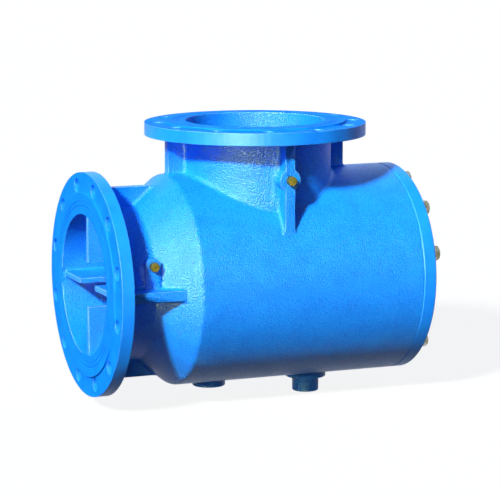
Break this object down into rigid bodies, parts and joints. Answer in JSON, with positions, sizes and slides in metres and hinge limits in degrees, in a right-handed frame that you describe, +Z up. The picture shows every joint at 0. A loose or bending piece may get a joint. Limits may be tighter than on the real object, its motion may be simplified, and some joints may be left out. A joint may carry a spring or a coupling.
{
  "type": "angle strainer",
  "caption": "Angle strainer for a pump inlet: flanged cast body with a top inlet, side outlet with flow vanes, perforated basket drawn out behind a bolted cover, drain and gauge plugs.",
  "frame": {"origin": "centre of the outlet flange's raised face", "axes": "+X from the outlet flange along the barrel to the cover, +Z up through the inlet flange, -Y towards the side with the gauge plugs"},
  "size_m": [0.7085, 0.46, 0.5823],
  "materials": {
    "casting_paint": "gloss epoxy paint on cast iron",
    "plated_steel": "zinc plated",
    "stainless_sheet": "rolled stainless sheet",
    "stainless_machined": "turned stainless steel",
    "stainless_mesh": "woven wire",
    "plug_brass": "machined brass",
    "rubber_ring": "moulded rubber",
    "fibre_gasket": "compressed fibre sheet"
  },
  "bodies": {
    "body": {"body_casting": "casting_paint", "screen_seat_gasket": "fibre_gasket"},
    "cover": {"cover_casting": "casting_paint", "cover_o_ring": "rubber_ring"},
    "cover_bolt_set": {"cover_bolts": "plated_steel", "cover_washers": "plated_steel"},
    "basket": {"strainer_screen": "stainless_sheet", "screen_seat_ring": "stainless_machined", "screen_end_band": "stainless_machined", "screen_end_plate": "stainless_sheet", "screen_handle": "stainless_machined", "screen_hoops": "stainless_sheet", "startup_mesh": "stainless_mesh", "mesh_clamp_bands": "stainless_sheet", "mesh_clamp_screws": "plated_steel"},
    "outlet_plug": {"outlet_gauge_plug": "plug_brass", "outlet_plug_washer": "fibre_gasket"},
    "inlet_plug": {"inlet_gauge_plug": "plug_brass", "inlet_plug_washer": "fibre_gasket"},
    "drain_plug_body": {"drain_plug": "plug_brass"}
  },
  "joints": [
    {"name": "cover_slide", "type": "slide", "parent": "body", "child": "cover", "axis": [1, 0, 0], "range_m": [0, 0.62]},
    {"name": "basket_slide", "type": "slide", "parent": "body", "child": "basket", "axis": [1, 0, 0], "range_m": [0, 0.558]},
    {"name": "cover_bolt_slide", "type": "slide", "parent": "cover", "child": "cover_bolt_set", "axis": [1, 0, 0], "range_m": [0, 0.062]},
    {"name": "outlet_plug_slide", "type": "slide", "parent": "body", "child": "outlet_plug", "axis": [0, -1, 0], "range_m": [0, 0.03]},
    {"name": "inlet_plug_slide", "type": "slide", "parent": "body", "child": "inlet_plug", "axis": [0, -1, 0], "range_m": [0, 0.03]},
    {"name": "drain_plug_slide", "type": "slide", "parent": "body", "child": "drain_plug_body", "axis": [0, 0, -1], "range_m": [0, 0.03]}
  ],
  "couplings": [
    {"joint": "basket_slide", "follows": "cover_slide", "ratio": 0.9}
  ]
}
